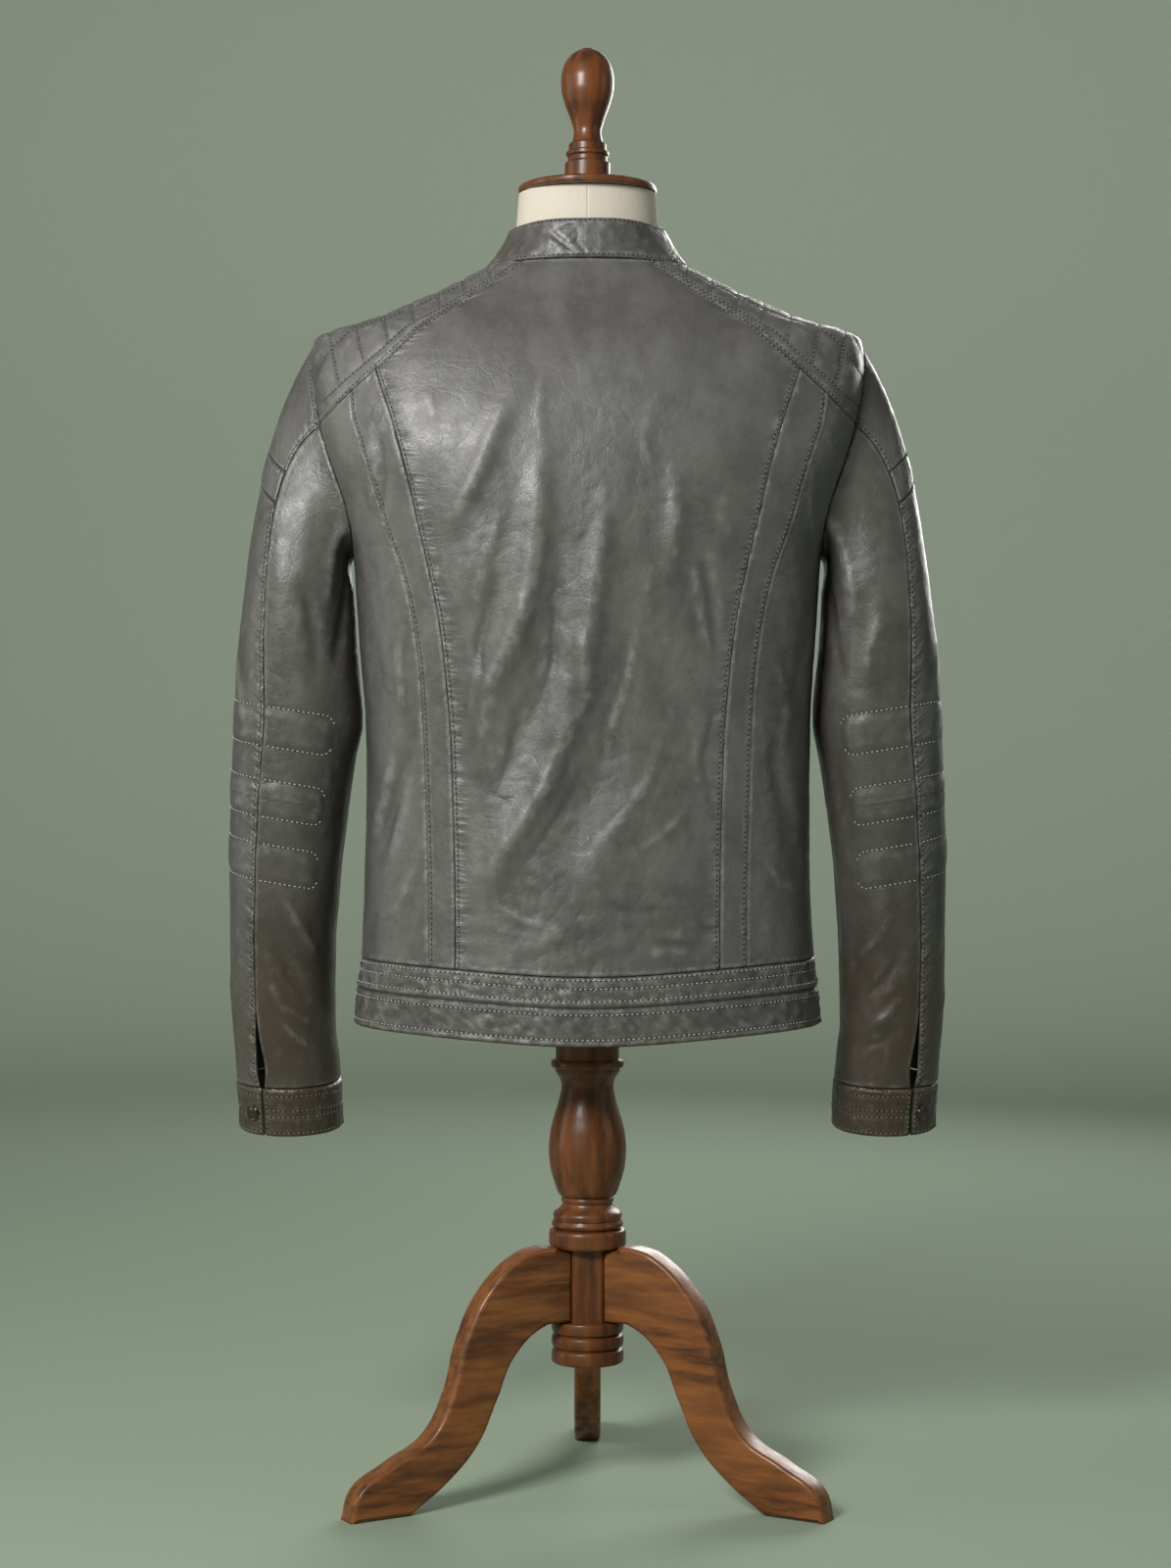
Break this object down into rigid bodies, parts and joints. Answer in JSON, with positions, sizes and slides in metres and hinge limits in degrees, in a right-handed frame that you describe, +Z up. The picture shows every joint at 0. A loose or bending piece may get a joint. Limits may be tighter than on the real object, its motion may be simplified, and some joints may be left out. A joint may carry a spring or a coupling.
{
  "type": "leather biker jacket on a dress form with turned wooden stand",
  "caption": "Grey cafe-racer style leather jacket with quilted shoulders and stitched elbow pads, zipped up on a linen dress form with a turned wooden tripod stand.",
  "frame": {"origin": "on the floor under the middle of the bounding box; the stand's post stands at y = 0.0475", "axes": "+Z up, -Y towards the front of the jacket, +X towards the wearer's left"},
  "size_m": [0.6114, 0.3562, 1.2228],
  "materials": {
    "leather": "soft washed grey leather with a brown cast on worn edges",
    "linen": "cream linen over a padded form",
    "wood": "satin walnut stain",
    "tape": "woven zip tape",
    "zip_metal": "dark nickel",
    "snap_metal": "gunmetal"
  },
  "bodies": {
    "jacket_on_form": {"back_centre": "leather", "back_side_left": "leather", "back_side_right": "leather", "back_strip_left": "leather", "back_strip_right": "leather", "collar": "leather", "cuff_left": "leather", "cuff_right": "leather", "cuff_snap_left": "snap_metal", "cuff_snap_right": "snap_metal", "finial": "wood", "form_torso": "linen", "front_left": "leather", "front_right": "leather", "hem_band": "leather", "leg_left": "wood", "leg_rear": "wood", "leg_right": "wood", "neck_cap": "wood", "shoulder_yoke_left": "leather", "shoulder_yoke_right": "leather", "sleeve_band_left": "leather", "sleeve_band_right": "leather", "sleeve_cap_left": "leather", "sleeve_cap_right": "leather", "sleeve_outer_left": "leather", "sleeve_outer_right": "leather", "sleeve_under_left": "leather", "sleeve_under_right": "leather", "stand_hub": "wood", "stand_post": "wood", "zip_chain": "zip_metal", "zip_slider": "zip_metal", "zip_tape_left": "tape", "zip_tape_right": "tape"},
    "zip_pull": {"zip_pull": "zip_metal"}
  },
  "joints": [
    {"name": "zip_pull_swing", "type": "hinge", "parent": "jacket_on_form", "child": "zip_pull", "pos_m": [0, -0.04152, 0.97016], "axis": [-1, 0, 0], "range_deg": [0, 95]}
  ]
}
